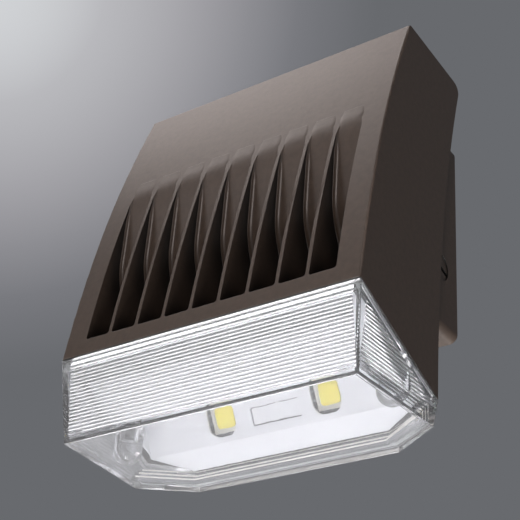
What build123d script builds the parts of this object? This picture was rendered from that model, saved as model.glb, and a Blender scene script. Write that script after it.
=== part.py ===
"""LED wall pack light: hinged louvered door with lens over a flat back box. Millimetres.

Frame: the origin is on the wall, at the centre of the back box's back face. +Z is up, +X is to
the right for someone facing the light, and the light stands out from the wall towards -Y.

The door's side section is written from its sill, the lower front edge of the casting: y runs
back from the sill to the wall, and z runs up from it. from_sill() turns such points into the
frame above.
"""

from math import atan2, cos, radians, sin, sqrt, tan
import os

from build123d import *

os.makedirs("parts", exist_ok=True)

# ---- driving dimensions -------------------------------------------------------------------

case_width = 168.0          # door, side to side
case_depth = 108.0          # sill to wall
sill_drop = 80.5            # sill below the centre of the back box

front_setback = 42.0        # how far the top front edge lies behind the sill
front_height = 173.0        # sill to top front edge
front_sagitta = 5.3         # bulge of the curved front over its chord
top_back = (96.8, 170.1)    # top edge at the back, from the sill
top_back_radius = 5.0
cut_back = (69.7, -27.3)    # lower back corner of the door's side
back_sagitta = 6.3          # hollow of the door's back edge over its chord
skin = 3.0                  # casting wall
edge_radius = 0.9           # outer edges of the casting

heel_y = 83.0               # back of the lamp chamber, from the sill
heel_half_width = 57.0      # where its chamfered corners start
heel_top = 20.5             # its top, under the back box
chamber_wall = 3.5
chamber_roof = 5.5          # ceiling of the lamp chamber, from the sill

box_width = 150.0
box_height = 117.0
box_front = 66.0            # front rim of the back box, from the sill
box_wall = 4.0
box_floor = 3.5
box_corner = 4.5
rim_gap = 0.7               # between box rim and door frame, taken up by the rim gasket
frame_width = 4.0           # door frame that closes on the rim
bay_floor = 27.0            # floor of the driver's bay, from the sill

slot_count = 9
slot_pitch = 16.0
slot_width = 14.1
slot_bottom = 8.5
slot_corner = 1.4           # lower corners of each slot
valley_chamfer = 1.0        # where a valley meets its ribs
valley_y = 19.2             # floor of the valleys between the ribs, from the sill
valley_bend = 62.0          # height where the valley floor starts to curve back
valley_radius = 43.0
valley_end = 52.0
blend_start = 94.0          # height where the valley floor starts to run out into the front
blend_end = 111.0
blend_depth = 21.35         # y of the front face there
web = 3.0

board_tilt = 60.0           # LED board, from horizontal
board_seat = (66.3, -13.5)  # centre of the board's seat, from the sill
board_length = 108.0
board_width = 17.0
board_rise = 1.5            # board and LEDs sit this far up from the middle of the windows
board_corner = 1.0
board_screw_x = 42.5
led_spacing = 60.2
led_size = 15.0
phosphor_size = 12.4
phosphor_corner = 1.2
pad_top = 0.3               # heights over the seat of the layers on it
board_top = 1.5
led_top = 2.6
connector_top = 5.6
sheet_face = 6.1            # white face of the reflector
sheet = 0.8

lens_floor = -42.5          # underside of the lens, from the sill
lens_wall = 2.6
lens_front_draft = 6.4      # how far the lens front leans in, over its full height
column_x = 74.3             # domed bosses that locate the lens
column_y = 45.0
flange_thickness = 3.0
flange_width = 4.5
lens_gasket_thickness = 0.8

hinge_x = -79.5
hinge_y = 88.0              # from the sill
hinge_radius = 4.2
pin_radius = 2.0
running_gap = 0.05
hinge_heights = (28.0, 100.0)   # bottom of each box lug, from the sill
lug_height = 8.0
lug_gap = 0.4

door_screw_x = 64.0
door_screw_z = 34.0         # from the sill, low in the last louver slot
door_screw_seat = 27.0
door_screw_post_end = 55.0

entry_y = 91.4              # threaded entries, from the sill
entry_z = 57.1
entry_radius = 7.35

driver_width = 90.0
driver_height = 44.0
driver_middle = 96.0        # from the sill
driver_front = 33.0
driver_back = 57.0

sill_slope = atan2(-cut_back[1], cut_back[0])
half_width = case_width / 2
rim_y = box_front - rim_gap
box_bottom = sill_drop - box_height / 2


def from_sill(*points):
    """Points of the side section, given from the sill, in the frame of the whole light."""
    return [(y - case_depth, z - sill_drop) for y, z in points]


def depth(y):
    """A distance back from the sill, as Y."""
    return y - case_depth


def height(z):
    """A height over the sill, as Z."""
    return z - sill_drop


def facing_wall(y):
    """A sketch plane across the light at y from the sill: X right, Z up, extruding to -Y."""
    return Plane.XZ.offset(-depth(y))


def level(z):
    """A level sketch plane at height z over the sill."""
    return Plane.XY.offset(height(z))


# The plane that parts door and lens: it falls away from the sill towards the wall.
rim_plane = Plane(
    origin=(0, depth(0), height(0)),
    x_dir=(1, 0, 0),
    z_dir=(0, sin(sill_slope), cos(sill_slope)),
)

# The seat of the LED board: its normal points out of the casting, forward and down.
board_plane = Plane(
    origin=(0, depth(board_seat[0]), height(board_seat[1])),
    x_dir=(1, 0, 0),
    z_dir=(0, -sin(radians(board_tilt)), -cos(radians(board_tilt))),
)


def on_board(x, v, w):
    """A point at x and v on the board's seat and w off it, in the frame of the whole light."""
    return board_plane.from_local_coords(Vector(x, v, w))


def heel_outline(inset=0.0, front=0.0):
    """Plan of the lamp chamber: straight sides and chamfered back corners."""
    side = half_width - inset
    chamfer_run = inset * 0.5
    return [
        (-side, depth(front)),
        (side, depth(front)),
        (side, depth(cut_back[0] - chamfer_run)),
        (heel_half_width - chamfer_run, depth(heel_y - inset)),
        (-heel_half_width + chamfer_run, depth(heel_y - inset)),
        (-side, depth(cut_back[0] - chamfer_run)),
    ]


def bend_radii(points):
    """The largest smooth bend at each inner point of a lead's route."""
    radii = []
    for before, corner, after in zip(points, points[1:], points[2:]):
        run_in = Vector(corner) - Vector(before)
        run_out = Vector(after) - Vector(corner)
        half_turn = radians(run_in.get_angle(run_out)) / 2
        radii.append(0.45 * min(run_in.length, run_out.length) / tan(half_turn))
    return radii


def finish(name, part):
    """Label a finished piece and write it."""
    part.label = name
    export_step(part, f"parts/{name}.step")


# ---- door: the louvered casting -----------------------------------------------------------

with BuildLine() as side_line:
    sill, top_front, top_corner, heel_corner = from_sill(
        (0, 0), (front_setback, front_height), top_back, cut_back
    )
    SagittaArc(sill, top_front, front_sagitta)
    Line(top_front, top_corner)
    SagittaArc(top_corner, heel_corner, -back_sagitta)
    Line(heel_corner, sill)

with BuildSketch(Plane.YZ) as side_section:
    add(side_line.line)
    make_face()
    top_vertices = side_section.vertices().sort_by(Axis.Y)[-2:]
    fillet(top_vertices.sort_by(Axis.X)[-1], top_back_radius)

# The hollow behind the front skin is open at the back.
open_back = 12.0
top_fall = (front_height - top_back[1]) / (top_back[0] - front_setback)
with BuildPart() as door_hollow:
    with BuildSketch(Plane.YZ):
        add(side_line.line)
        make_face()
        offset(amount=-skin)
    extrude(amount=half_width - skin, both=True)
    add(door_hollow.part.moved(Location((0, open_back, -open_back * top_fall))))
    split(bisect_by=level(heel_top), keep=Keep.TOP)

# The core carries the louvers: valley webs in front, the driver's bay behind them.
core_bottom = 6.0
core_top = 113.0
with BuildSketch(Plane.YZ) as core_section:
    web_radius = valley_radius - web
    bend_centre_y = valley_y + valley_radius
    bay_floor_y = bend_centre_y - sqrt(web_radius**2 - (valley_bend - bay_floor) ** 2)
    web_mid_z = (valley_bend + bay_floor) / 2
    web_mid_y = bend_centre_y - sqrt(web_radius**2 - (valley_bend - web_mid_z) ** 2)
    front_low, frame_low, frame_floor, floor_start, arc_mid, arc_end, skin_join, skin_front = from_sill(
        (0.5, core_bottom),
        (rim_y, core_bottom),
        (rim_y, bay_floor),
        (bay_floor_y, bay_floor),
        (web_mid_y, web_mid_z),
        (valley_y + web, valley_bend),
        (24.6, core_top),
        (2.0, core_top),
    )
    with BuildLine():
        Polyline(skin_front, front_low, frame_low, frame_floor, floor_start)
        ThreePointArc(floor_start, arc_mid, arc_end)
        Polyline(arc_end, skin_join, skin_front)
    make_face()

core_half_width = (slot_count - 1) / 2 * slot_pitch + slot_width / 2 + web
driver_ear_x = driver_width / 2 + 4.5
driver_ear_z = 108.0
driver_boss_root = 23.0

with BuildPart() as door_core:
    with BuildSketch(facing_wall(rim_y)):
        RectangleRounded(box_width, box_height, box_corner)
        RectangleRounded(
            box_width - 2 * frame_width, box_height - 2 * frame_width, box_corner - 2, mode=Mode.SUBTRACT
        )
    extrude(amount=rim_y)
    extrude(core_section.sketch, amount=core_half_width, both=True)
    with BuildSketch(facing_wall(driver_boss_root)):
        with Locations((-driver_ear_x, height(driver_ear_z)), (driver_ear_x, height(driver_ear_z))):
            Circle(5)
    extrude(amount=driver_boss_root - driver_front)
    extrude(side_section.sketch, amount=half_width, both=True, mode=Mode.INTERSECT)

# One louver: the valley floor is upright, curves back at its foot, and runs out softly at its top.
bend_mid_angle = radians(38)
mouth = -6.0
with BuildPart() as louver_pocket:
    with BuildSketch(Plane.YZ):
        bend_end_z = valley_bend - sqrt(valley_radius**2 - (bend_centre_y - valley_end) ** 2)
        mouth_low, floor_back, roof_back, bend_mid, bend_top, blend_low, blend_mid, blend_high, mouth_high = (
            from_sill(
                (mouth, slot_bottom),
                (valley_end, slot_bottom),
                (valley_end, bend_end_z),
                (
                    bend_centre_y - valley_radius * cos(bend_mid_angle),
                    valley_bend - valley_radius * sin(bend_mid_angle),
                ),
                (valley_y, valley_bend),
                (valley_y, blend_start),
                (valley_y + 0.56, (blend_start + blend_end) / 2),
                (blend_depth, blend_end),
                (mouth, blend_end),
            )
        )
        with BuildLine():
            Polyline(mouth_high, mouth_low, floor_back, roof_back)
            ThreePointArc(roof_back, bend_mid, bend_top)
            Line(bend_top, blend_low)
            ThreePointArc(blend_low, blend_mid, blend_high)
            Line(blend_high, mouth_high)
        make_face()
    extrude(amount=slot_width / 2, both=True)
    floor_edges = louver_pocket.edges().filter_by(Axis.Y).sort_by(Axis.Z)[:2]
    fillet(floor_edges, slot_corner)
    valley_edges = [
        edge
        for edge in louver_pocket.edges()
        if abs(abs(edge.center().X) - slot_width / 2) < 0.01
        and edge.center().Y > depth(valley_y - 1.5)
        and height(slot_bottom + 11) < edge.center().Z < height(blend_end - 1)
    ]
    chamfer(valley_edges, valley_chamfer)

# Pockets between the fins behind the LED seat, open to the back under the box.
with BuildPart() as heel_pocket:
    with BuildSketch(Plane.YZ):
        Polygon(*from_sill((57, 16), (57, 10.7), (75.9, -22), (95, -22), (95, 16)), align=None)
    extrude(amount=slot_width / 2, both=True)
    fillet(heel_pocket.edges().filter_by(Axis.Y), 1.5)

# Lamp chamber above the lens: level ceiling, then the tilted seat of the LED board.
seat_foot_z = -26.0
with BuildPart() as lamp_chamber:
    with BuildSketch(Plane.YZ):
        seat_run = tan(radians(90 - board_tilt))
        seat_top = board_seat[0] - (chamber_roof - board_seat[1]) * seat_run
        seat_foot = board_seat[0] + (board_seat[1] - seat_foot_z) * seat_run
        Polygon(
            *from_sill(
                (chamber_wall, -50),
                (chamber_wall, chamber_roof),
                (seat_top, chamber_roof),
                (seat_foot, seat_foot_z),
                (78.5, -30),
                (78.5, -50),
            ),
            align=None,
        )
    extrude(amount=half_width, both=True)
    with BuildSketch(level(-60)):
        Polygon(*heel_outline(chamber_wall), align=None)
    extrude(amount=80, mode=Mode.INTERSECT)

column_spots = [(-column_x, depth(column_y)), (column_x, depth(column_y))]
post_radius = 5.5
spigot_radius = 2.5
spigot_length = 7.0         # below the parting plane at the post

with BuildPart() as lens_posts:
    with BuildSketch(level(-40)):
        with Locations(*column_spots):
            Circle(post_radius)
    extrude(amount=40 + chamber_roof + 1)
    split(bisect_by=rim_plane, keep=Keep.TOP)
    with BuildSketch(level(-column_y * tan(sill_slope) - spigot_length)):
        with Locations(*column_spots):
            Circle(spigot_radius)
    extrude(amount=spigot_length + post_radius)

pad_spots = [(-50, depth(30)), (50, depth(30))]
sheet_level = 3.4
arm_thickness = 3.5
arm_start = 66.0
door_screw_spot = (door_screw_x, height(door_screw_z))
board_screw_spots = [(-board_screw_x, board_rise), (board_screw_x, board_rise)]
board_screw_length = 6.0
wireway_x = -64.0
wireway_y = 57.5
wireway_radius = 3.5

with BuildPart() as door_housing:
    extrude(side_section.sketch, amount=half_width, both=True)
    with BuildSketch(level(-50)):
        Polygon(*heel_outline(0, front=50), align=None)
    extrude(amount=50 + heel_top)
    add(door_hollow.part, mode=Mode.SUBTRACT)
    split(bisect_by=rim_plane, keep=Keep.TOP)
    side_edges = door_housing.edges().filter_by(lambda e: abs(abs(e.center().X) - half_width) < 0.01)
    fillet(side_edges.filter_by(lambda e: e.center().Z > height(0)).group_by(Axis.Y)[0], edge_radius)
    add(door_core.part)
    # Open channels between the frame and the side skins.
    for side in (-1, 1):
        with BuildSketch(level(10)):
            with Locations((side * (box_width / 2 + half_width - skin) / 2, depth(50))):
                Rectangle(half_width - skin - box_width / 2, 60)
        extrude(amount=heel_top - 9, mode=Mode.SUBTRACT)
    add(lamp_chamber.part, mode=Mode.SUBTRACT)
    for index in range(slot_count):
        louver_x = (index - (slot_count - 1) / 2) * slot_pitch
        add(louver_pocket.part.moved(Location((louver_x, 0, 0))), mode=Mode.SUBTRACT)
    for index in range(-3, 4):
        add(heel_pocket.part.moved(Location((index * slot_pitch, 0, 0))), mode=Mode.SUBTRACT)
    # Bosses behind the LED seat, then posts and pads on the chamber's ceiling.
    with BuildSketch(board_plane):
        with Locations(*board_screw_spots):
            Circle(3.6)
    extrude(amount=-9)
    add(lens_posts.part)
    with BuildSketch(level(sheet_level + sheet)):
        with Locations(*pad_spots):
            Circle(5)
    extrude(amount=chamber_roof - sheet_level - sheet + 1)
    # Sleeve of the door screw, standing in the last louver.
    with BuildSketch(facing_wall(door_screw_post_end)):
        with Locations(door_screw_spot):
            Circle(5.8)
    extrude(amount=door_screw_post_end - door_screw_seat)
    with BuildSketch(facing_wall(door_screw_seat)):
        with Locations(door_screw_spot):
            Circle(5.2)
    extrude(amount=10, mode=Mode.SUBTRACT)
    # Hinge knuckles on arms from the left side.
    for bottom in hinge_heights:
        with BuildSketch(level(bottom + lug_height + lug_gap)):
            with Locations((hinge_x, depth(hinge_y))):
                Circle(hinge_radius)
            with Locations((hinge_x - hinge_radius + arm_thickness / 2, depth((arm_start + hinge_y) / 2))):
                Rectangle(arm_thickness, hinge_y - arm_start)
        extrude(amount=lug_height)
    # Holes for the screws, the hinge pins and the LED lead.
    with BuildSketch(facing_wall(door_screw_post_end + 1)):
        with Locations(door_screw_spot):
            Circle(2.8)
    extrude(amount=door_screw_post_end - door_screw_seat + 2, mode=Mode.SUBTRACT)
    with BuildSketch(facing_wall(driver_boss_root + 1.5)):
        with Locations((-driver_ear_x, height(driver_ear_z)), (driver_ear_x, height(driver_ear_z))):
            Circle(2.1)
    extrude(amount=driver_boss_root + 1.5 - driver_front, mode=Mode.SUBTRACT)
    with BuildSketch(board_plane):
        with Locations(*board_screw_spots):
            Circle(1.6)
    extrude(amount=-board_screw_length - 1, mode=Mode.SUBTRACT)
    with BuildSketch(level(0)):
        with Locations((hinge_x, depth(hinge_y))):
            Circle(pin_radius)
    extrude(amount=hinge_heights[1] + 40, mode=Mode.SUBTRACT)
    with BuildSketch(level(-8)):
        with Locations((wireway_x, depth(wireway_y))):
            Circle(wireway_radius)
    extrude(amount=bay_floor + 9, mode=Mode.SUBTRACT)

finish("door_housing", door_housing.part)

# ---- back box -----------------------------------------------------------------------------

surface_holes = (120.0, 86.0)
octagon_spacing = 88.9
gang_spacing = 83.3
wire_entry_radius = 11.1
entry_boss = 10.0           # from the outside, wall included
ground_spot = (-50, -40)
gasket_groove = 1.7
wall_gasket_depth = 1.2
wall_gasket_inset = 3.0
wall_gasket_width = 4.0
rim_gasket_root = 1.0
inside_y = case_depth - box_floor


def rim_ring(inset, width):
    """A ring that follows the rim of the back box, inset from its outside."""
    outer = inset
    inner = inset + width
    RectangleRounded(box_width - 2 * outer, box_height - 2 * outer, box_corner - 0.5 * outer)
    RectangleRounded(
        box_width - 2 * inner, box_height - 2 * inner, box_corner - 0.5 * inner, mode=Mode.SUBTRACT
    )


rim_gasket_inset = (box_wall - gasket_groove) / 2

with BuildPart() as back_box:
    with BuildSketch(facing_wall(case_depth)):
        RectangleRounded(box_width, box_height, box_corner)
    extrude(amount=case_depth - box_front)
    with BuildSketch(facing_wall(inside_y)):
        RectangleRounded(box_width - 2 * box_wall, box_height - 2 * box_wall, box_corner - 2)
    extrude(amount=inside_y - box_front, mode=Mode.SUBTRACT)
    # Hinge lugs.
    for bottom in hinge_heights:
        with BuildSketch(level(bottom)):
            with Locations((hinge_x, depth(hinge_y))):
                Circle(hinge_radius)
            with Locations(((hinge_x - box_width / 2) / 2 + 0.5, depth(hinge_y))):
                Rectangle(-hinge_x - box_width / 2 + 1, 2 * hinge_radius)
        extrude(amount=lug_height)
    # Bosses for the door screw, the earth screw and the three entries.
    with BuildSketch(facing_wall(inside_y + 1)):
        with Locations(door_screw_spot):
            Circle(6)
    extrude(amount=inside_y + 1 - box_front - 0.5)
    with BuildSketch(facing_wall(inside_y + 1)):
        with Locations(ground_spot):
            Circle(5)
    extrude(amount=13)
    for side in (-1, 1):
        with BuildSketch(Plane.YZ.offset(side * (box_width / 2 - 1))):
            with Locations((depth(entry_y), height(entry_z))):
                Circle(12)
        extrude(amount=-side * (entry_boss - 1))
    with BuildSketch(level(box_bottom + 1)):
        with Locations((0, depth(entry_y))):
            Circle(12)
    extrude(amount=entry_boss - 1)
    # Threaded entries.
    with BuildSketch(Plane.YZ.offset(-box_width / 2 - 1)):
        with Locations((depth(entry_y), height(entry_z))):
            Circle(entry_radius)
    extrude(amount=entry_boss + 2, mode=Mode.SUBTRACT)
    with BuildSketch(Plane.YZ.offset(box_width / 2 - entry_boss - 1)):
        with Locations((depth(entry_y), height(entry_z))):
            Circle(entry_radius)
    extrude(amount=entry_boss + 2, mode=Mode.SUBTRACT)
    with BuildSketch(level(box_bottom - 1)):
        with Locations((0, depth(entry_y))):
            Circle(entry_radius)
    extrude(amount=entry_boss + 2, mode=Mode.SUBTRACT)
    # Holes in the back, for every way of fixing the box to a wall.
    with BuildSketch(facing_wall(case_depth)):
        Circle(wire_entry_radius)
        with GridLocations(octagon_spacing, 0, 2, 1):
            Circle(2.4)
        with GridLocations(0, gang_spacing, 1, 2):
            Circle(2.2)
        with GridLocations(*surface_holes, 2, 2):
            Circle(2.8)
    extrude(amount=box_floor, mode=Mode.SUBTRACT)
    # Screw and pin holes, and the two gasket grooves.
    with BuildSketch(facing_wall(80)):
        with Locations(door_screw_spot):
            Circle(2.6)
    extrude(amount=80 - box_front, mode=Mode.SUBTRACT)
    with BuildSketch(facing_wall(inside_y)):
        with Locations(ground_spot):
            Circle(2.1)
    extrude(amount=14, mode=Mode.SUBTRACT)
    with BuildSketch(level(0)):
        with Locations((hinge_x, depth(hinge_y))):
            Circle(pin_radius + running_gap)
    extrude(amount=hinge_heights[1] + 40, mode=Mode.SUBTRACT)
    with BuildSketch(facing_wall(box_front + rim_gasket_root)):
        rim_ring(rim_gasket_inset, gasket_groove)
    extrude(amount=rim_gasket_root, mode=Mode.SUBTRACT)
    with BuildSketch(facing_wall(case_depth)):
        rim_ring(wall_gasket_inset, wall_gasket_width)
    extrude(amount=wall_gasket_depth, mode=Mode.SUBTRACT)

finish("back_box", back_box.part)

with BuildPart() as wall_gasket:
    with BuildSketch(facing_wall(case_depth)):
        rim_ring(wall_gasket_inset, wall_gasket_width)
    extrude(amount=wall_gasket_depth)

finish("wall_gasket", wall_gasket.part)

with BuildPart() as rim_gasket:
    with BuildSketch(facing_wall(box_front + rim_gasket_root)):
        rim_ring(rim_gasket_inset, gasket_groove)
    extrude(amount=rim_gasket_root + 0.4)

finish("rim_gasket", rim_gasket.part)

# Headless closure plugs with a screwdriver slot, one in each entry.
plug_radius = entry_radius - 0.1
plug_recess = 0.6
plug_length = 8.0
plug_slot = (2.2, 1.6)      # width and depth
plug_turn = 17.0            # slot of the right plug, down from level towards the wall

entry_planes = [
    Plane(origin=(box_width / 2, depth(entry_y), height(entry_z)), x_dir=(0, 1, 0), z_dir=(1, 0, 0)),
    Plane(origin=(-box_width / 2, depth(entry_y), height(entry_z)), x_dir=(0, -1, 0), z_dir=(-1, 0, 0)),
    Plane(origin=(0, depth(entry_y), height(box_bottom)), x_dir=(1, 0, 0), z_dir=(0, 0, -1)),
]

with BuildPart() as entry_plugs:
    for entry_plane, turn in zip(entry_planes, (-plug_turn, 40.0, 8.0)):
        with BuildSketch(entry_plane.offset(-plug_recess - plug_length)):
            Circle(plug_radius)
        extrude(amount=plug_length)
        with BuildSketch(entry_plane.offset(-plug_recess - plug_slot[1])):
            Rectangle(2 * plug_radius + 1, plug_slot[0], rotation=turn)
        extrude(amount=plug_slot[1], mode=Mode.SUBTRACT)

finish("entry_plugs", entry_plugs.part)

ground_head = inside_y - 12.0
with BuildPart() as ground_screw:
    with BuildSketch(facing_wall(ground_head + 10)):
        with Locations(ground_spot):
            Circle(2)
    extrude(amount=10)
    with BuildSketch(facing_wall(ground_head)):
        with Locations(ground_spot):
            RegularPolygon(4.0, 6)
    extrude(amount=2.8)

finish("ground_screw", ground_screw.part)

# ---- hinge pins and door screw ------------------------------------------------------------

with BuildPart() as hinge_pins:
    for bottom in hinge_heights:
        with BuildSketch(level(bottom + 0.5)):
            with Locations((hinge_x, depth(hinge_y))):
                Circle(pin_radius)
        extrude(amount=2 * lug_height + lug_gap - 0.5)
    chamfer(hinge_pins.edges().filter_by(GeomType.CIRCLE).sort_by(Axis.Z)[0], 0.6)

finish("hinge_pins", hinge_pins.part)

head_radius = 4.2
head_height = 3.2
seal_thickness = 1.0
pilot_start = 66.0
pilot_end = 71.0

with BuildPart() as door_screw:
    with BuildSketch(facing_wall(door_screw_seat - seal_thickness)):
        with Locations(door_screw_spot):
            Circle(head_radius)
    extrude(amount=head_height)
    chamfer(door_screw.edges().sort_by(Axis.Y)[0], 0.6)
    with BuildSketch(facing_wall(pilot_start)):
        with Locations(door_screw_spot):
            Circle(2.5)
    extrude(amount=pilot_start - door_screw_seat + seal_thickness)
    with BuildSketch(facing_wall(pilot_end)):
        with Locations(door_screw_spot):
            Circle(2.0)
    extrude(amount=pilot_end - pilot_start)
    chamfer(door_screw.edges().sort_by(Axis.Y)[-1], 0.9)
    with BuildSketch(facing_wall(door_screw_seat - seal_thickness - head_height + 2)):
        with Locations(door_screw_spot):
            RegularPolygon(2.2, 6)
    extrude(amount=3, mode=Mode.SUBTRACT)

finish("door_screw", door_screw.part)

with BuildPart() as door_screw_seal:
    with BuildSketch(facing_wall(door_screw_seat - 0.1)):
        with Locations(door_screw_spot):
            Circle(4.6)
            Circle(2.55, mode=Mode.SUBTRACT)
    extrude(amount=seal_thickness - 0.1)

finish("door_screw_seal", door_screw_seal.part)

with BuildPart() as door_screw_retainer:
    with BuildSketch(facing_wall(62)):
        with Locations(door_screw_spot):
            Circle(4.4)
            Circle(2.55, mode=Mode.SUBTRACT)
    extrude(amount=1)

finish("door_screw_retainer", door_screw_retainer.part)

# ---- lens ---------------------------------------------------------------------------------

lens_side_draft = 3.7
lens_back = (84.0, 78.3)        # back end of the side wall at sill height: x, y
lens_back_draft = 13.1          # how far that corner moves forward, down to the underside
lens_inner_floor = lens_floor + 2.5
lens_ceiling = 2.0
prism_count = 19
prism_top = -5.9
prism_bottom = -38.9
prism_depth = 0.8
side_prism_start = 8.0
side_prism_run = 56.0
prism_lean = 0.047              # side walls spread a little towards the back
step_rise = 2.6


def lens_outline(z):
    """Plan of the lens at height z: every wall but the back leans in towards its underside."""
    fall = z / lens_floor
    front_x = half_width - lens_side_draft * fall
    front_y = depth(lens_front_draft * fall)
    back_x = lens_back[0]
    back_y = depth(lens_back[1] - lens_back_draft * fall)
    return [
        (-front_x, front_y),
        (front_x, front_y),
        (back_x, back_y),
        (heel_half_width, depth(heel_y)),
        (-heel_half_width, depth(heel_y)),
        (-back_x, back_y),
    ]


def prism_line(wall_foot, wall_lean):
    """Saw-tooth line of the prisms on an inner wall: foot at sill height, leaning with z."""
    pitch = (prism_top - prism_bottom) / prism_count
    points = []
    for index in range(prism_count):
        top = prism_top - index * pitch
        points.append((wall_foot + wall_lean * top / lens_floor, top))
        points.append((wall_foot + wall_lean * (top - pitch) / lens_floor - prism_depth, top - pitch + 0.15))
    points.append((wall_foot + wall_lean * prism_bottom / lens_floor, prism_bottom))
    return points


lens_top_plane = rim_plane.offset(-lens_gasket_thickness)
flange_under = rim_plane.offset(-lens_gasket_thickness - flange_thickness)

with BuildPart() as lens_body:
    with BuildSketch(level(lens_floor)):
        Polygon(*lens_outline(lens_floor), align=None)
    with BuildSketch(level(lens_ceiling)):
        Polygon(*lens_outline(lens_ceiling), align=None)
    loft(ruled=True)
    split(bisect_by=lens_top_plane, keep=Keep.BOTTOM)

# The back of the lens is stepped inside, along its chamfered corners too.
chamfer_x, chamfer_y = lens_back[0], lens_back[1] - lens_back_draft
chamfer_rise = (heel_y - chamfer_y) / (chamfer_x - heel_half_width)
wide_x = 100.0
wide_y = heel_y - (wide_x - heel_half_width) * chamfer_rise

with BuildPart() as lens_steps:
    for index, inset in enumerate((8.0, 6.0, 4.0)):
        with BuildSketch(level(lens_inner_floor + index * step_rise)):
            Polygon(
                (-wide_x, depth(-20)),
                (wide_x, depth(-20)),
                (wide_x, depth(wide_y)),
                (heel_half_width, depth(heel_y)),
                (-heel_half_width, depth(heel_y)),
                (-wide_x, depth(wide_y)),
                align=None,
            )
            offset(amount=-inset, kind=Kind.INTERSECTION)
        extrude(amount=step_rise)
    with BuildSketch(level(lens_inner_floor + 3 * step_rise)):
        with Locations((0, depth(heel_y / 2))):
            Rectangle(2 * wide_x, 2 * wide_x)
    extrude(amount=60)

with BuildPart() as lens_cavity:
    with BuildSketch(level(lens_inner_floor)):
        Polygon(*lens_outline(lens_inner_floor), align=None)
        offset(amount=-lens_wall, kind=Kind.INTERSECTION)
    with BuildSketch(level(lens_ceiling)):
        Polygon(*lens_outline(lens_ceiling), align=None)
        offset(amount=-lens_wall, kind=Kind.INTERSECTION)
    loft(ruled=True)
    # Prisms inside the front wall, and on along both sides.
    front_teeth = from_sill(*prism_line(lens_wall, lens_front_draft))
    with BuildSketch(Plane.YZ):
        Polygon(*front_teeth, (depth(15), height(prism_bottom)), (depth(15), height(prism_top)), align=None)
    extrude(amount=79, both=True)
    side_teeth = prism_line(lens_wall - half_width, lens_side_draft)
    for side in (-1, 1):
        with BuildSketch(facing_wall(side_prism_start)):
            Polygon(
                *[(-side * x, height(z)) for x, z in side_teeth],
                (side * 70, height(prism_bottom)),
                (side * 70, height(prism_top)),
                align=None,
            )
        extrude(amount=side_prism_run, dir=(side * prism_lean, 1, 0))
    add(lens_steps.part, mode=Mode.INTERSECT)
    split(bisect_by=flange_under, keep=Keep.BOTTOM)

# Clear bosses with domed ends hang from the flange and sit on the casting's spigots.
boss_radius = 7.0
dome_centre = -30.5
bore_depth = spigot_length + 1.5

with BuildPart() as lens_bosses:
    with BuildSketch(level(dome_centre)):
        with Locations(*column_spots):
            Circle(boss_radius)
    extrude(amount=-dome_centre)
    with Locations(*[(x, y, height(dome_centre)) for x, y in column_spots]):
        Sphere(boss_radius)
    add(lens_body.part, mode=Mode.INTERSECT)

slope_scale = 1 / cos(sill_slope)


def rim_outline(inset):
    """The lens flange's outline on the parting plane."""
    side = half_width - inset
    return [
        (-side, inset),
        (side, inset),
        (side, (cut_back[0] - inset * 0.5) * slope_scale),
        (heel_half_width - inset * 0.5, (heel_y - inset) * slope_scale),
        (-heel_half_width + inset * 0.5, (heel_y - inset) * slope_scale),
        (-side, (cut_back[0] - inset * 0.5) * slope_scale),
    ]


with BuildPart() as lens:
    add(lens_body.part)
    add(lens_cavity.part, mode=Mode.SUBTRACT)
    with BuildSketch(flange_under):
        Polygon(*rim_outline(flange_width), align=None)
    extrude(amount=flange_thickness + 1, mode=Mode.SUBTRACT)
    add(lens_bosses.part)
    with BuildSketch(level(-column_y * tan(sill_slope) - bore_depth)):
        with Locations(*column_spots):
            Circle(spigot_radius + 0.3)
    extrude(amount=30, mode=Mode.SUBTRACT)

finish("lens", lens.part)

with BuildPart() as lens_gasket:
    with BuildSketch(lens_top_plane):
        Polygon(*rim_outline(1.0), align=None)
        Polygon(*rim_outline(3.4), align=None, mode=Mode.SUBTRACT)
    extrude(amount=lens_gasket_thickness)

finish("lens_gasket", lens_gasket.part)

# ---- reflector and LEDs -------------------------------------------------------------------

sheet_front = 5.0
sheet_bend_v = (sheet_level - board_seat[1] + sheet_face * cos(radians(board_tilt))) / sin(radians(board_tilt))
lip_v = -10.45
lip_end = (75.5, -32.6)
cheek_x = 77.4
window = (16.0, 15.4)
window_corners = (2.2, 6.0)     # upper and lower
oblong = (27.9, 9.0)
oblong_middle = (1.4, -1.45)
oblong_corner = 1.0


def sheet_point(v, w=sheet_face):
    """A point of the reflector's tilted part, v up it, in y and z from the sill."""
    return (
        board_seat[0] - w * sin(radians(board_tilt)) - v * cos(radians(board_tilt)),
        board_seat[1] - w * cos(radians(board_tilt)) + v * sin(radians(board_tilt)),
    )


with BuildSketch() as window_outline:
    Rectangle(*window)
    fillet(window_outline.vertices().group_by(Axis.Y)[1], window_corners[0])
    fillet(window_outline.vertices().group_by(Axis.Y)[0], window_corners[1])

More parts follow.
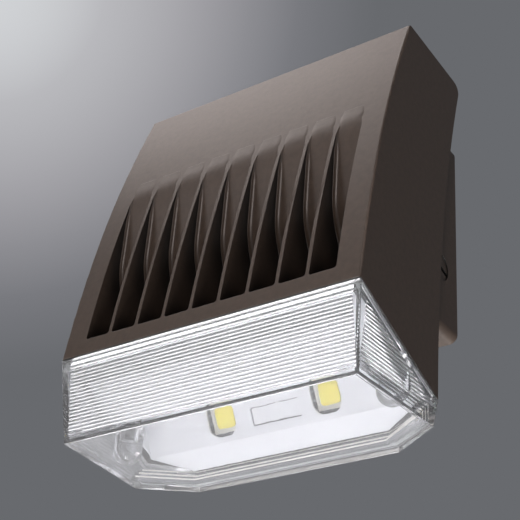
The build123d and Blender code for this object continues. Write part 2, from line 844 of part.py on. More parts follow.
with BuildPart() as reflector:
    with BuildSketch(Plane.YZ):
        with BuildLine():
            Polyline(
                *from_sill(
                    (sheet_front, sheet_level), sheet_point(sheet_bend_v), sheet_point(lip_v), lip_end
                )
            )
            offset(amount=sheet, side=Side.LEFT, kind=Kind.INTERSECTION)
        make_face()
    extrude(amount=cheek_x, both=True)
    for side in (-1, 1):
        with BuildSketch(Plane.YZ.offset(side * cheek_x)):
            Polygon(
                *from_sill((6, 3.8), (49.7, 3.8), (65.9, -24.2), (6, -0.75)),
                align=None,
            )
        extrude(amount=-side * sheet)
    with BuildSketch(level(-50)):
        Polygon(*heel_outline(half_width - cheek_x), align=None)
    extrude(amount=80, mode=Mode.INTERSECT)
    with BuildSketch(board_plane.offset(sheet_face - 2 * sheet)):
        with GridLocations(led_spacing, 0, 2, 1):
            add(window_outline.sketch)
        with Locations(oblong_middle):
            RectangleRounded(*oblong, oblong_corner)
    extrude(amount=3 * sheet, mode=Mode.SUBTRACT)
    with BuildSketch(level(-30)):
        with Locations(*column_spots):
            Circle(post_radius + 0.2)
    extrude(amount=40, mode=Mode.SUBTRACT)

finish("reflector", reflector.part)

with BuildPart() as thermal_pad:
    with BuildSketch(board_plane):
        with Locations((0, board_rise)):
            Rectangle(board_length, board_width)
        with Locations(*board_screw_spots):
            Circle(1.8, mode=Mode.SUBTRACT)
    extrude(amount=pad_top)

finish("thermal_pad", thermal_pad.part)

with BuildPart() as led_board:
    with BuildSketch(board_plane.offset(pad_top)):
        with Locations((0, board_rise)):
            RectangleRounded(board_length, board_width, board_corner)
        with Locations(*board_screw_spots):
            Circle(1.8, mode=Mode.SUBTRACT)
    extrude(amount=board_top - pad_top)

finish("led_board", led_board.part)

led_spots = [(-led_spacing / 2, board_rise), (led_spacing / 2, board_rise)]
phosphor_depth = 0.5
phosphor_sink = 0.1         # of the phosphor's face below the package

with BuildPart() as led_packages:
    with BuildSketch(board_plane.offset(board_top)):
        with Locations(*led_spots):
            Rectangle(led_size, led_size)
    extrude(amount=led_top - board_top)
    with BuildSketch(board_plane.offset(led_top)):
        with Locations(*led_spots):
            RectangleRounded(phosphor_size, phosphor_size, phosphor_corner)
    extrude(amount=-phosphor_depth, mode=Mode.SUBTRACT)

finish("led_packages", led_packages.part)

with BuildPart() as led_phosphors:
    with BuildSketch(board_plane.offset(led_top - phosphor_depth)):
        with Locations(*led_spots):
            RectangleRounded(phosphor_size, phosphor_size, phosphor_corner)
    extrude(amount=phosphor_depth - phosphor_sink)

finish("led_phosphors", led_phosphors.part)

# The connector fills the oblong window, but for a gap on its left and below it.
connector = (27.05, 8.05)
connector_middle = (1.52, -1.28)
connector_upper = connector_middle[1] + connector[1] / 2

with BuildPart() as board_connector:
    with BuildSketch(board_plane.offset(board_top)):
        with Locations(connector_middle):
            RectangleRounded(*connector, 0.6)
    extrude(amount=connector_top - board_top)

finish("board_connector", board_connector.part)

with BuildPart() as board_screws:
    with BuildSketch(board_plane.offset(board_top)):
        with Locations(*board_screw_spots):
            Circle(2.75)
    extrude(amount=1.6)
    with BuildSketch(board_plane.offset(board_top)):
        with Locations(*board_screw_spots):
            Circle(1.5)
    extrude(amount=-board_screw_length)

finish("board_screws", board_screws.part)

# ---- driver and leads ---------------------------------------------------------------------

lid = 1.5
ear_thickness = 2.0
driver_spot = (0, height(driver_middle))
ear_spots = [(-driver_ear_x, height(driver_ear_z)), (driver_ear_x, height(driver_ear_z))]

with BuildPart() as driver_case:
    with BuildSketch(facing_wall(driver_back - lid)):
        with Locations(driver_spot):
            RectangleRounded(driver_width, driver_height, 2)
    extrude(amount=driver_back - lid - driver_front)
    with BuildSketch(facing_wall(driver_front + ear_thickness)):
        with Locations((0, height(driver_ear_z))):
            RectangleRounded(2 * driver_ear_x + 10, 10, 3)
        with Locations(*ear_spots):
            Circle(2.2, mode=Mode.SUBTRACT)
    extrude(amount=ear_thickness)

finish("driver_case", driver_case.part)

with BuildPart() as driver_lid:
    with BuildSketch(facing_wall(driver_back)):
        with Locations(driver_spot):
            RectangleRounded(driver_width, driver_height, 2)
    extrude(amount=lid)

finish("driver_lid", driver_lid.part)

with BuildPart() as driver_screws:
    with BuildSketch(facing_wall(driver_front + ear_thickness + 2.4)):
        with Locations(*ear_spots):
            Circle(3.6)
    extrude(amount=2.4)
    with BuildSketch(facing_wall(driver_front + ear_thickness)):
        with Locations(*ear_spots):
            Circle(2)
    extrude(amount=ear_thickness + 7.5)

finish("driver_screws", driver_screws.part)

lead_radius = 1.3
lead_sides = 8
lead_off_board = 3.0
# up the board, straight under the wireway
lead_v = (board_seat[0] - lead_off_board * sin(radians(board_tilt)) - wireway_y) / cos(radians(board_tilt))
widest_bend = 8.0
lead_route = [
    Vector(-driver_width / 2, depth(45), height(82)),
    Vector(-60, depth(45), height(82)),
    Vector(wireway_x, depth(wireway_y), height(50)),
    on_board(wireway_x, lead_v, lead_off_board),
    on_board(connector_middle[0], lead_v, lead_off_board),
    on_board(connector_middle[0], connector_upper, lead_off_board),
]
lead_bends = [min(radius, widest_bend) for radius in bend_radii(lead_route)]
print("led_lead bend radii", [round(radius, 1) for radius in lead_bends])

with BuildPart() as led_lead:
    with BuildLine() as lead_path:
        FilletPolyline(*lead_route, radius=lead_bends)
    with BuildSketch(Plane(origin=lead_path.line @ 0, z_dir=lead_path.line % 0)):
        RegularPolygon(lead_radius, lead_sides)
    sweep()

finish("led_lead", led_lead.part)

with BuildPart() as wire_grommet:
    with BuildSketch(level(bay_floor - 6)):
        with Locations((wireway_x, depth(wireway_y))):
            Circle(wireway_radius)
    extrude(amount=6)
    with BuildSketch(level(bay_floor)):
        with Locations((wireway_x, depth(wireway_y))):
            Circle(4.4)
    extrude(amount=1.2)
    with BuildSketch(level(bay_floor - 6)):
        with Locations((wireway_x, depth(wireway_y))):
            Circle(lead_radius + 0.1)
    extrude(amount=8, mode=Mode.SUBTRACT)

finish("wire_grommet", wire_grommet.part)

supply_radius = 1.1
supply_exit_z = 84.0
supply_drop_x = 60.0
connector_z = 66.0
supply_depths = {"line": 38.0, "neutral": 45.0, "ground": 52.0}

for wire, wire_y in supply_depths.items():
    supply_route = [
        Vector(driver_width / 2, depth(wire_y), height(supply_exit_z)),
        Vector(supply_drop_x, depth(wire_y), height(supply_exit_z)),
        Vector(supply_drop_x, depth(wire_y), height(connector_z)),
    ]
    with BuildPart() as supply_lead:
        with BuildLine() as supply_path:
            FilletPolyline(*supply_route, radius=bend_radii(supply_route))
        with BuildSketch(Plane(origin=supply_path.line @ 0, z_dir=supply_path.line % 0)):
            RegularPolygon(supply_radius, lead_sides)
        sweep()
    finish(f"supply_lead_{wire}", supply_lead.part)

with BuildPart() as push_in_connectors:
    for wire_y in supply_depths.values():
        with BuildSketch(level(connector_z - 18)):
            with Locations((supply_drop_x, depth(wire_y))):
                Rectangle(12, 5.6)
        extrude(amount=18)
        with BuildSketch(level(connector_z - 18)):
            with Locations((supply_drop_x - 3, depth(wire_y)), (supply_drop_x + 3, depth(wire_y))):
                Rectangle(3, 3)
        extrude(amount=9, mode=Mode.SUBTRACT)

finish("push_in_connectors", push_in_connectors.part)
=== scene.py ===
"""LED wall pack light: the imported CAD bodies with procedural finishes, and three finer pieces
worked out with numpy."""

from math import radians

import bpy
import numpy as np
from mathutils import Matrix, Vector


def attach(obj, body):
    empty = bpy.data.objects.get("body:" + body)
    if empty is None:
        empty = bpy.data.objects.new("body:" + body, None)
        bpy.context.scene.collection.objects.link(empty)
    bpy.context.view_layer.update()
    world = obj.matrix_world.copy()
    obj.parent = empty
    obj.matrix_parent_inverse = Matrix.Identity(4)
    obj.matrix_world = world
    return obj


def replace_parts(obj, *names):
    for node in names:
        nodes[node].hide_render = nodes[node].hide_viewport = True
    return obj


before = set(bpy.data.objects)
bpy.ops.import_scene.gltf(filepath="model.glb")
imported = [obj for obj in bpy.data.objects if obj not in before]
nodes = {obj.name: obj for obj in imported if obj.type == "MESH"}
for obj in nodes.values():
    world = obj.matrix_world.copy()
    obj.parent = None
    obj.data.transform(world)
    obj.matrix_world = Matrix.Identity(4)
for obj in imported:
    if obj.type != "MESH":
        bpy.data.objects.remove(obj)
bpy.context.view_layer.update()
scene = bpy.context.scene
MM = 0.001


# ---------------------------------------------------------------- nodes of a material

def srgb(code):
    """An sRGB hex colour as linear red, green, blue and alpha."""
    values = np.array([int(code[i:i + 2], 16) for i in (1, 3, 5)]) / 255
    linear = np.where(values <= 0.04045, values / 12.92, ((values + 0.055) / 1.055) ** 2.4)
    return (*linear.tolist(), 1.0)


def set_sockets(tree, node, sockets):
    """Fills inputs of a node, each with a value or with an output to link."""
    for name, value in sockets.items():
        if isinstance(value, bpy.types.NodeSocket):
            tree.links.new(value, node.inputs[name])
        else:
            node.inputs[name].default_value = value


def add(tree, kind, sockets=None, **settings):
    """Adds one node: settings are its properties, sockets its inputs."""
    node = tree.nodes.new("ShaderNode" + kind)
    for name, value in settings.items():
        setattr(node, name, value)
    set_sockets(tree, node, sockets or {})
    return node


def new_material(name):
    """An empty node material: its tree, its shader and its Object coordinates."""
    material = bpy.data.materials.new(name)
    material.use_nodes = True
    tree = material.node_tree
    tree.nodes.clear()
    shader = add(tree, "BsdfPrincipled")
    add(tree, "OutputMaterial", {"Surface": shader.outputs["BSDF"]})
    place = add(tree, "TexCoord").outputs["Object"]
    return material, tree, shader, place


def per_metre(millimetres):
    """Scale of a texture whose features repeat every so many millimetres."""
    return 1000 / millimetres


def noise(tree, place, size, detail):
    """A drift between 0 and 1 with features of so many millimetres."""
    texture = add(tree, "TexNoise", {
        "Vector": place, "Scale": per_metre(size), "Detail": detail,
    })
    return texture.outputs["Fac"]


def mottle(tree, place, size, light, dark, detail=4.0):
    """Colour that drifts between two hexes, in patches of so many millimetres."""
    ramp = add(tree, "ValToRGB", {"Fac": noise(tree, place, size, detail)})
    stops = ((0.3, dark), (0.7, light))
    for element, (position, code) in zip(ramp.color_ramp.elements, stops):
        element.position = position
        element.color = srgb(code)
    return ramp.outputs["Color"]


def relief(tree, height, strength, depth, **sockets):
    """The normals of a bump so many metres deep."""
    bump = add(tree, "Bump", {
        "Height": height, "Strength": strength, "Distance": depth, **sockets,
    })
    return bump.outputs["Normal"]


def remap(tree, value, from_min=0.0, from_max=1.0, to_min=0.0, to_max=1.0, **settings):
    """A value moved from one range to another, and held within it."""
    mapped = add(tree, "MapRange", {
        "Value": value, "From Min": from_min, "From Max": from_max,
        "To Min": to_min, "To Max": to_max,
    }, **settings)
    return mapped.outputs["Result"]


def combine(tree, operation, first, second):
    """Two numbers put through one operation."""
    return add(tree, "Math", {0: first, 1: second}, operation=operation).outputs["Value"]


# ---------------------------------------------------------------- materials

def powder_coated_casting(name, in_valley=False):
    """Die-cast aluminium under baked fine-texture powder: a dark warm bronze with the orange-peel
    of melted powder, so it spreads highlights widely and glitters faintly; the grit is 0.55 mm.
    Outside the valleys the colour carries painted shade: it is multiplied down to near black where
    ambient occlusion finds little open space within 16 mm, so narrow recesses and gaps stay near
    black. On a valley's upright floor, under its blend into the front, the coat has flowed
    smoother and takes a sheen."""
    material, tree, shader, place = new_material(name)
    colour = mottle(tree, place, size=3.0, light="#483b32", dark="#3f332b")
    peel = noise(tree, place, size=0.55, detail=3.0)
    swell = noise(tree, place, size=6.0, detail=1.0)
    gloss = remap(tree, peel, to_min=0.42, to_max=0.56)
    if in_valley:
        height_above_middle = add(tree, "SeparateXYZ", {0: place}).outputs["Z"]
        smoother = remap(tree, height_above_middle, from_min=0.008, from_max=0.024,
                         to_min=0.7, interpolation_type="SMOOTHSTEP")
        gloss = combine(tree, "MULTIPLY", gloss, smoother)
    else:
        # painted shade: ambient occlusion darkens the colour to near black in narrow recesses and
        # gaps
        open_sky = add(tree, "AmbientOcclusion", {"Distance": 0.016}, samples=8)
        recess_shade = remap(tree, open_sky.outputs["AO"], from_min=0.5, from_max=0.95, to_min=0.03)
        # in a mix of colours, socket 0 is the share, 6 and 7 are the colours, and 2 comes out
        painted_shade = add(tree, "Mix", {0: 1.0, 6: colour, 7: recess_shade},
                      data_type="RGBA", blend_type="MULTIPLY")
        colour = painted_shade.outputs[2]
    height = combine(tree, "ADD", peel, swell)
    edge = add(tree, "Bevel", {"Radius": 0.0004}, samples=4).outputs["Normal"]
    set_sockets(tree, shader, {
        "Base Color": colour,
        "Roughness": gloss,
        "Normal": relief(tree, height, strength=0.3, depth=0.00012, Normal=edge),
        "IOR": 1.52,
    })
    return material


def clear_polycarbonate():
    """Injection-moulded polycarbonate, index 1.585, with a breath of flow marks: clear and
    polished over its floor and steps, and a little satin on the ribbed front and sides, which
    softens their lines."""
    material, tree, shader, place = new_material("clear_polycarbonate")
    flow = noise(tree, place, size=14.0, detail=2.0)
    spot = add(tree, "SeparateXYZ", {0: place})
    above_floor = remap(tree, spot.outputs["Z"], from_min=-0.1205, from_max=-0.118)
    before_steps = remap(tree, spot.outputs["Y"], from_min=-0.04, from_max=-0.055)
    ribbed = combine(tree, "MULTIPLY", above_floor, before_steps)
    set_sockets(tree, shader, {
        "Base Color": srgb("#f6f6f8"),
        "Transmission Weight": 0.95,
        "IOR": 1.585,
        "Roughness": remap(tree, ribbed, to_min=0.02, to_max=0.11),
        "Normal": relief(tree, flow, strength=0.15, depth=0.0002),
    })
    return material


def painted_reflector():
    """Folded aluminium sheet with matt white reflector paint: even and soft, with a faint roller
    grain of 0.8 mm."""
    material, tree, shader, place = new_material("painted_reflector_sheet")
    grain = noise(tree, place, size=0.8, detail=2.0)
    set_sockets(tree, shader, {
        "Base Color": mottle(tree, place, size=25.0, light="#f0f1f4", dark="#e9eaee"),
        "Roughness": 0.55,
        "Normal": relief(tree, grain, strength=0.15, depth=0.00005),
        "IOR": 1.5,
    })
    return material


def solder_mask():
    """Metal-core board under grey solder mask, slightly glossy, with copper areas 4.5 mm wide that
    show as a low relief between pale gaps. Its greys are partly the mask's colour and partly
    painted shade: kept dark so that the shaded gap under the reflector's window edges reads dark."""
    material, tree, shader, place = new_material("grey_solder_mask_and_painted_gap_shade")
    # dark greys: partly painted shade for the gap under the reflector's window edges
    tracks = add(tree, "TexBrick", {
        "Vector": place, "Scale": per_metre(9.0),
        "Color1": srgb("#4a4b4e"), "Color2": srgb("#5a5b5e"), "Mortar": srgb("#9a9c9e"),
        "Mortar Size": 0.03, "Mortar Smooth": 0.3,
    })
    set_sockets(tree, shader, {
        "Base Color": tracks.outputs["Color"],
        "Roughness": 0.35,
        "Normal": relief(tree, tracks.outputs["Fac"], strength=0.2, depth=0.00005),
        "IOR": 1.5,
    })
    return material


def led_ceramic():
    """Alumina LED package, fired and cut: bright white, matt, with a fine 0.3 mm grain."""
    material, tree, shader, place = new_material("fired_alumina")
    grain = noise(tree, place, size=0.3, detail=2.0)
    set_sockets(tree, shader, {
        "Base Color": mottle(tree, place, size=2.0, light="#f4f3ec", dark="#ebeae2"),
        "Roughness": 0.4,
        "Normal": relief(tree, grain, strength=0.1, depth=0.00003),
        "IOR": 1.6,
    })
    return material


def phosphor_silicone():
    """Silicone filled with yellow phosphor, cast over the dies: saturated lemon, soft and a
    little wet, paler where the filling thins."""
    material, tree, shader, place = new_material("phosphor_silicone")
    set_sockets(tree, shader, {
        "Base Color": mottle(tree, place, size=1.6, light="#fff36a", dark="#ffec58", detail=3.0),
        "Roughness": 0.35,
        "IOR": 1.45,
        "Subsurface Weight": 0.1,
        "Subsurface Radius": (0.002, 0.0015, 0.0004),
    })
    return material


def moulded(name, light, dark, rough, grain, ior=1.5):
    """A moulded rubber or plastic between two near colours, with its mould's grain in
    millimetres, which sets the depth of its relief and the size of its patches."""
    patch_in_grains, depth_per_millimetre, rough_spread = 8, 0.0001, 0.06
    material, tree, shader, place = new_material(name)
    texture = noise(tree, place, size=grain, detail=2.0)
    set_sockets(tree, shader, {
        "Base Color": mottle(tree, place, patch_in_grains * grain, light, dark),
        "Roughness": remap(tree, texture,
                           to_min=rough - rough_spread, to_max=rough + rough_spread),
        "Normal": relief(tree, texture, strength=0.2, depth=depth_per_millimetre * grain),
        "IOR": ior,
    })
    return material


def turned_steel(name, light, dark):
    """Headed and turned steel: a metal with fine scratches 0.25 mm apart, which break up its
    highlights."""
    material, tree, shader, place = new_material(name)
    scratches = noise(tree, place, size=0.25, detail=3.0)
    set_sockets(tree, shader, {
        "Base Color": mottle(tree, place, 1.5, light, dark),
        "Metallic": 1.0,
        "Roughness": remap(tree, scratches, to_min=0.22, to_max=0.4),
        "Normal": relief(tree, scratches, strength=0.15, depth=0.00003),
    })
    return material


casting = powder_coated_casting("powder_coated_casting")
valley_coat = powder_coated_casting("powder_coated_valley", in_valley=True)
polycarbonate = clear_polycarbonate()
reflector_paint = painted_reflector()
board_mask_and_gap_shade = solder_mask()
alumina = led_ceramic()
phosphor = phosphor_silicone()
stainless = turned_steel("headed_stainless_steel", "#d0d0ce", "#bdbdbb")
dark_steel = turned_steel("blackened_stainless_steel", "#4b453f", "#3c3732")
green_steel = turned_steel("green_dyed_zinc", "#3f8a58", "#2f6f46")

# EPDM, pressed: deep matt black that takes almost no highlight
epdm = moulded("pressed_epdm", "#26262a", "#1c1c1f", rough=0.75, grain=0.6)
# extruded silicone: soft satin grey
silicone = moulded("extruded_silicone", "#a3a6a6", "#979a9a", rough=0.55, grain=0.7, ior=1.42)
# closed-cell foam, skived: dull charcoal with open pores
foam = moulded("closed_cell_foam", "#313133", "#1d1d1f", rough=0.9, grain=0.9)
# nylon 6/6, moulded: milky with a light sheen
nylon = moulded("moulded_nylon", "#f3f4f6", "#eaebee", rough=0.35, grain=1.2, ior=1.53)
# gap filler, calendered: slate blue-grey putty
gap_filler = moulded("gap_filler_pad", "#7f8b96", "#727e8a", rough=0.7, grain=0.8)
# ABS, spark-eroded mould: black with a fine even grain
black_abs = moulded("grained_black_abs", "#2b2c2e", "#222325", rough=0.5, grain=0.8)
# silicone wire jackets, extruded: smooth and satin
white_jacket = moulded("white_silicone_jacket", "#e6e5df", "#d9d8d2", rough=0.45, grain=2.0)
black_jacket = moulded("black_silicone_jacket", "#222224", "#19191b", rough=0.45, grain=2.0)
neutral_jacket = moulded("grey_white_silicone_jacket", "#dddcd7", "#cfcec9",
                         rough=0.45, grain=2.0)
green_jacket = moulded("green_silicone_jacket", "#2f7d45", "#266a39", rough=0.45, grain=2.0)
# polycarbonate connector bodies, tinted amber: glossy
amber_housing = moulded("amber_polycarbonate", "#dd8a3a", "#cf7a2b",
                        rough=0.2, grain=3.0, ior=1.58)
# painted highlight: opaque white beads stand for the light caught by the rounded step edges of the
# clear lens
painted_step_highlight = moulded("painted_highlight_step_edge", "#fffaf4", "#f4efe8",
                    rough=0.4, grain=1.0, ior=1.585)

finishes = {
    "back_box": casting, "door_housing": casting, "entry_plugs": casting,
    "wall_gasket": foam, "rim_gasket": silicone, "lens_gasket": silicone,
    "ground_screw": green_steel, "hinge_pins": stainless, "door_screw": dark_steel,
    "board_screws": stainless, "driver_screws": stainless,
    "door_screw_seal": epdm, "door_screw_retainer": nylon, "wire_grommet": epdm,
    "lens": polycarbonate, "reflector": reflector_paint, "led_board": board_mask_and_gap_shade,
    "led_packages": alumina, "led_phosphors": phosphor, "board_connector": nylon,
    "thermal_pad": gap_filler, "driver_case": black_abs, "driver_lid": black_abs,
    "led_lead": white_jacket, "supply_lead_line": black_jacket,
    "supply_lead_neutral": neutral_jacket, "supply_lead_ground": green_jacket,
    "push_in_connectors": amber_housing,
}
for name, finish in finishes.items():
    nodes[name].data.materials.clear()
    nodes[name].data.materials.append(finish)


# ---------------------------------------------------------------- surfaces worked out with numpy

def from_sill(x, y, z):
    """Points in millimetres from the door's lower front edge, in the frame and in metres."""
    sill_to_wall, sill_drop = 108.0, 80.5
    return np.stack(np.broadcast_arrays(x, y - sill_to_wall, z - sill_drop), axis=-1) * MM


def make_piece(name, body, finish, vertices, faces):
    """A mesh piece in metres, riding on a body, smooth but for its sharp edges."""
    sharp_from = radians(40)
    mesh = bpy.data.meshes.new(name)
    mesh.from_pydata(vertices.reshape(-1, 3).tolist(), [], faces)
    mesh.validate()
    mesh.update()
    mesh.shade_smooth()
    mesh.set_sharp_from_angle(angle=sharp_from)
    mesh.materials.append(finish)
    piece = bpy.data.objects.new(name, mesh)
    scene.collection.objects.link(piece)
    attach(piece, body)
    return piece


def swept_faces(rings, points, first=0):
    """Faces of a closed bar: quads between rings of so many points, and a cap on each end."""
    ring, point = np.meshgrid(np.arange(rings - 1), np.arange(points), indexing="ij")
    here = first + ring * points + point
    beside = first + ring * points + (point + 1) % points
    quads = np.stack([here, beside, beside + points, here + points], axis=-1).reshape(-1, 4)
    last = first + (rings - 1) * points
    caps = [list(range(first + points - 1, first - 1, -1)), list(range(last, last + points))]
    return quads.tolist() + caps


def valley_line(upper, lower):
    """The floor of a louver valley, from its top to its foot, as y, z, the direction out of the
    metal and the depth below the front. Its upper rings follow the floor and, above it, the
    front, joined by a quadratic smooth maximum, and stand a little proud of both, which fades
    out to the top; its lower rings follow the arc that turns back under the hood."""
    # the front is an arc round this point of the side view
    front_radius, front_y, front_z = 750.2, 744.8, -89.2
    floor_y, blend_start, blend_rise, soft, top = 19.2, 94.0, 0.00775, 0.4, 113.0
    bend_start, bend_radius, bend_turn = 62.0, 43.0, radians(74.0)
    fade_length, most_proud, sunk = 8.0, 0.16, 0.01
    z = np.linspace(top, bend_start, upper)
    front = front_y - np.sqrt(front_radius ** 2 - (z - front_z) ** 2)
    floor = floor_y + blend_rise * np.clip(z - blend_start, 0, None) ** 2
    near = np.clip(soft - np.abs(front - floor), 0, None)
    fade = np.clip((top - z) / fade_length, 0, 1)
    proud = most_proud * fade ** 2 * (3 - 2 * fade) - sunk
    y = np.maximum(front, floor) + near ** 2 / (4 * soft) - proud
    slope = np.gradient(y, z)
    turn = np.linspace(0, bend_turn, lower + 1)[1:]
    y = np.concatenate([y, floor_y + bend_radius - (bend_radius + proud[-1]) * np.cos(turn)])
    out_y = np.concatenate([-1 / np.hypot(1, slope), -np.cos(turn)])
    out_z = np.concatenate([slope / np.hypot(1, slope), -np.sin(turn)])
    z = np.concatenate([z, bend_start - (bend_radius + proud[-1]) * np.sin(turn)])
    depth = y - (front_y - np.sqrt(front_radius ** 2 - (z - front_z) ** 2))
    return y, z, out_y, out_z, depth


def valley_linings():
    """The coat's surface in the nine valleys, floor and fillets in one skin: across the slot a
    quarter circle, a flat and a quarter circle, swept down the valley line; the fillets' radius
    is 0.6 of the valley's depth up to its full size, and the skin's edges dip into the front
    above the valley, as the eighth power of the place across."""
    slot_count, slot_pitch, half_width = 9, 16.0, 7.05
    full_radius, least_radius, radius_share, skin = 2.1, 0.05, 0.6, 0.5
    dip_below_depth, dip_size = 0.4, 0.3
    upper_rings, lower_rings, arc_points, flat_points, flat_start = 84, 30, 8, 5, 0.92
    y, z, out_y, out_z, depth = valley_line(upper_rings, lower_rings)
    radius = np.clip(radius_share * depth, least_radius, full_radius)[:, None]
    # from one rib to the middle of the valley
    turn = np.linspace(0, np.pi / 2, arc_points)
    across = half_width - radius * (1 - np.sin(turn[::-1]))
    off = radius * (1 - np.cos(turn[::-1]))
    flat = (half_width - radius) * np.linspace(flat_start, 0.0, flat_points)
    across = np.concatenate([across, flat], axis=1)
    off = np.concatenate([off, np.zeros_like(flat)], axis=1)
    dip = np.clip(1 - depth / dip_below_depth, 0, 1)[:, None] * dip_size
    off = off - dip * (across / half_width) ** 8
    # then mirrored to the other rib, and back behind the skin
    across = np.concatenate([across, -across[:, -2::-1]], axis=1)
    off = np.concatenate([off, off[:, -2::-1]], axis=1)
    across = np.concatenate([across, across[:, ::-1]], axis=1)
    off = np.concatenate([off, np.full_like(off, -skin)], axis=1)
    ring_y = y[:, None] + off * out_y[:, None]
    ring_z = z[:, None] + off * out_z[:, None]
    rings, points = across.shape
    vertices, faces = [], []
    for slot in range(slot_count):
        slot_x = (slot - (slot_count - 1) / 2) * slot_pitch
        vertices.append(from_sill(slot_x + across, ring_y, ring_z))
        faces += swept_faces(rings, points, slot * rings * points)
    return make_piece("valley_linings", "door", valley_coat,
                      np.array(vertices), faces)


def phosphor_domes():
    """The light-emitting silicone of the two LEDs: on a square with sides of 10.7 mm, whose
    corners are a superellipse's of the seventh power, a crown that rises as 1 - r^4 from a rim
    sunk in the package. Heights are over the board's seat, which is tilted from horizontal."""
    seat_y, seat_z, tilt, rise = 66.3, -13.5, radians(60.0), 1.5
    led_places = (-30.1, 30.1)
    half_size, power, foot, rim, crown = 5.35, 7, 2.1, 2.45, 0.4
    rings, points, innermost = 22, 96, 0.02
    turn = np.linspace(0, 2 * np.pi, points, endpoint=False)
    edge = (np.abs(np.cos(turn)) ** power + np.abs(np.sin(turn)) ** power) ** (-1 / power)
    share = np.sin(np.linspace(np.pi / 2, innermost, rings))[:, None]
    flat_x = half_size * share * edge * np.cos(turn)
    flat_v = half_size * share * edge * np.sin(turn)
    height = rim + crown * (1 - share ** 4) + np.zeros_like(flat_x)
    # one more ring at the rim, down at the foot
    flat_x = np.concatenate([flat_x[:1], flat_x])
    flat_v = np.concatenate([flat_v[:1], flat_v])
    height = np.concatenate([np.full_like(height[:1], foot), height])
    up_board = rise + flat_v
    y = seat_y - height * np.sin(tilt) - up_board * np.cos(tilt)
    z = seat_z - height * np.cos(tilt) + up_board * np.sin(tilt)
    vertices, faces = [], []
    for index, led_x in enumerate(led_places):
        vertices.append(from_sill(led_x + flat_x, y, z))
        faces += swept_faces(rings + 1, points, index * (rings + 1) * points)
    domes = make_piece("phosphor_domes", "door", phosphor, np.array(vertices), faces)
    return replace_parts(domes, "led_phosphors")


def lens_step_edges():
    """Painted highlights on the rounded edges of the three steps inside the lens's back: opaque
    white beads, a circle swept along each step's edge, which is the chamfered heel line moved in
    by the step's inset."""
    heel_x, heel_y, chamfer_x, chamfer_y, end_x = 57.0, 83.0, 84.0, 65.2, 79.5
    lowest, step_rise, insets = -40.0, 2.6, (8.0, 6.0, 4.0)
    bead_radius, points = 0.38, 12
    along = np.array([chamfer_x - heel_x, chamfer_y - heel_y])
    along = along / np.hypot(*along)
    inward = np.array([along[1], -along[0]])
    # a ring's own direction at its path's left end, two corners and right end: square to the
    # chamfer at the ends, and halfway between the chamfer and the heel at the corners
    corner_x, corner_y = 0.28, -0.96
    side = np.array([(-inward[0], inward[1]), (corner_x, corner_y), (-corner_x, corner_y), inward])
    turn = np.linspace(0, 2 * np.pi, points, endpoint=False)
    circle = bead_radius * np.cos(turn)[None, :, None] * side[:, None, :]
    vertices, faces = [], []
    for index, inset in enumerate(insets):
        start = np.array([heel_x, heel_y]) + inset * inward
        corner = start + along * (heel_y - inset - start[1]) / along[1]
        end = start + along * (end_x - start[0]) / along[0]
        path = np.array([(-end[0], end[1]), (-corner[0], corner[1]), corner, end])
        rim = circle + path[:, None, :]
        height = lowest + (index + 1) * step_rise + bead_radius * np.sin(turn)
        vertices.append(from_sill(rim[..., 0], rim[..., 1], height[None, :]))
        faces += swept_faces(len(path), points, index * len(path) * points)
    return make_piece("lens_step_edges", "door", painted_step_highlight,
                      np.array(vertices), faces)


valley_linings()
phosphor_domes()
lens_step_edges()


# ---------------------------------------------------------------- floor, light and camera

def seen_directly(tree):
    """1 for rays from the camera and for mirrored and refracted ones, 0 for light that
    spreads."""
    rays = add(tree, "LightPath").outputs
    mirrored = combine(tree, "MAXIMUM", rays["Is Camera Ray"], rays["Is Glossy Ray"])
    return combine(tree, "MAXIMUM", mirrored, rays["Is Transmission Ray"])


def pale_paint(name, code):
    """Matt floor paint, rolled: an even pale grey with a soft 4 mm stipple. Two thirds of what is
    seen of it is its plain colour, so that it stays pale far from the lamps, and one third its
    lit surface."""
    plain_share = 0.67
    material, tree, shader, place = new_material(name)
    stipple = noise(tree, place, size=4.0, detail=2.0)
    set_sockets(tree, shader, {
        "Base Color": srgb(code),
        "Roughness": 0.8,
        "Normal": relief(tree, stipple, strength=0.05, depth=0.0003),
    })
    plain = add(tree, "Emission", {"Color": srgb(code), "Strength": 1.0})
    mixed = add(tree, "MixShader", {
        0: combine(tree, "MULTIPLY", seen_directly(tree), plain_share),
        1: shader.outputs["BSDF"],
        2: plain.outputs["Emission"],
    })
    output = next(node for node in tree.nodes if node.type == "OUTPUT_MATERIAL")
    tree.links.new(mixed.outputs["Shader"], output.inputs["Surface"])
    return material


def soft_light(name, place, target, size, power, tint="#ffffff", through_glass=True):
    """A softbox of a width and a height, turned from its place to a target and out of the
    camera's sight; one that only lifts the far sides isn't seen through the lens either."""
    lamp = bpy.data.lights.new(name, "AREA")
    lamp.shape = "RECTANGLE"
    lamp.size, lamp.size_y = size
    lamp.energy = power
    lamp.color = srgb(tint)[:3]
    box = bpy.data.objects.new(name, lamp)
    box.location = place
    box.rotation_euler = (Vector(target) - Vector(place)).to_track_quat("-Z", "Y").to_euler()
    box.visible_camera = False
    box.visible_transmission = through_glass
    scene.collection.objects.link(box)


floor_height = -1.2
floor_half = 3.0
floor_mesh = bpy.data.meshes.new("studio_floor")
floor_mesh.from_pydata([
    (-floor_half, -floor_half, floor_height), (floor_half, -floor_half, floor_height),
    (floor_half, floor_half, floor_height), (-floor_half, floor_half, floor_height),
], [], [(0, 1, 2, 3)])
floor_mesh.materials.append(pale_paint("rolled_wall_paint", "#c9c9cb"))
studio_floor = bpy.data.objects.new("studio_floor", floor_mesh)
scene.collection.objects.link(studio_floor)

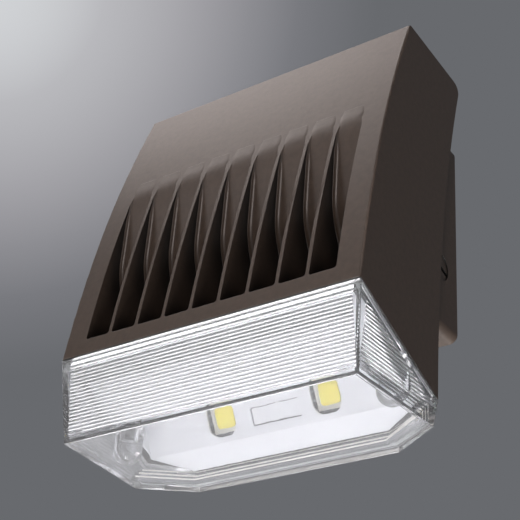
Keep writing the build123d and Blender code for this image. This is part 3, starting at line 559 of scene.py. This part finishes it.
# each lamp's name, its place, where it points, its width and height, and its power in watts
middle = (0.0, -0.07, 0.0)
above_table = (-0.5, -1.45, 0.0)
warm = "#fff3ef"
soft_light("overhead_left_softbox", (-0.62, -0.12, 1.25), middle, (0.66, 0.66), 6.6, warm)
soft_light("lit_table_below", (-0.5, -1.45, -1.1), above_table, (3.6, 3.0), 48)
soft_light("straight_below_softbox", (0.05, -0.3, -0.95), middle, (0.4, 0.4), 13.5)
soft_light("wall_softbox", (-0.8, 1.0, 1.5), middle, (0.8, 0.8), 17, through_glass=False)
soft_light("left_softbox", (-1.6, 0.25, 0.3), middle, (0.9, 0.9), 10, through_glass=False)
soft_light("rear_low_softbox", (-0.15, 0.9, -1.05), middle, (0.8, 0.6), 4)
soft_light("left_front_softbox", (-0.76, -1.15, 0.72), middle, (0.5, 0.5), 1.1, warm)
soft_light("edge_light", (0.6, -1.05, 0.7), middle, (0.12, 0.12), 3.5, warm)

world = bpy.data.worlds.new("studio_grey")
scene.world = world
world.use_nodes = True
sky = world.node_tree
sky.nodes.clear()
# the backdrop has one pale spot, to the upper left of the photograph's view, and darkens round
# it by the cosine of the angle to it
pale_spot = (-0.602, 0.444, 0.664)
backdrop_stops = (
    (0.9586, "#686a6e"), (0.9719, "#77787d"), (0.9800, "#8b8b90"),
    (0.9866, "#9d9ca1"), (0.9959, "#b7b7bb"), (0.9998, "#d0d2d5"),
)
direction = add(sky, "TexCoord").outputs["Generated"]
nearness = add(sky, "VectorMath", {0: direction, 1: pale_spot}, operation="DOT_PRODUCT")
fall = add(sky, "ValToRGB", {"Fac": nearness.outputs["Value"]})
fall_elements = fall.color_ramp.elements
while len(fall_elements) < len(backdrop_stops):
    fall_elements.new(0.5)
for element, (cosine, code) in zip(fall_elements, backdrop_stops):
    element.position = cosine
    element.color = srgb(code)
even = add(sky, "Background", {"Color": srgb("#e8e9ec"), "Strength": 0.16})
backdrop = add(sky, "Background", {"Color": fall.outputs["Color"], "Strength": 1.0})
mixed = add(sky, "MixShader", {
    0: seen_directly(sky), 1: even.outputs["Background"], 2: backdrop.outputs["Background"],
})
add(sky, "OutputWorld", {"Surface": mixed.outputs["Shader"]})

scene.view_settings.view_transform = "Standard"

# the camera of the photograph: below the light, in front of it and to the right of its middle
camera_right = Vector((0.82531482, 0.5608557, 0.06554641))
camera_down = Vector((-0.25011899, 0.46716788, -0.84805346))
camera_forward = Vector((-0.50625679, 0.68351668, 0.52584123))
camera_place = (0.3301, -0.5120, -0.3679)
camera = bpy.data.objects.new("camera", bpy.data.cameras.new("camera"))
camera.data.sensor_width = 36.0
camera.data.lens = 90.63
axes = Matrix((camera_right, -camera_down, -camera_forward)).transposed()
camera.matrix_world = Matrix.Translation(camera_place) @ axes.to_4x4()
scene.collection.objects.link(camera)
scene.camera = camera
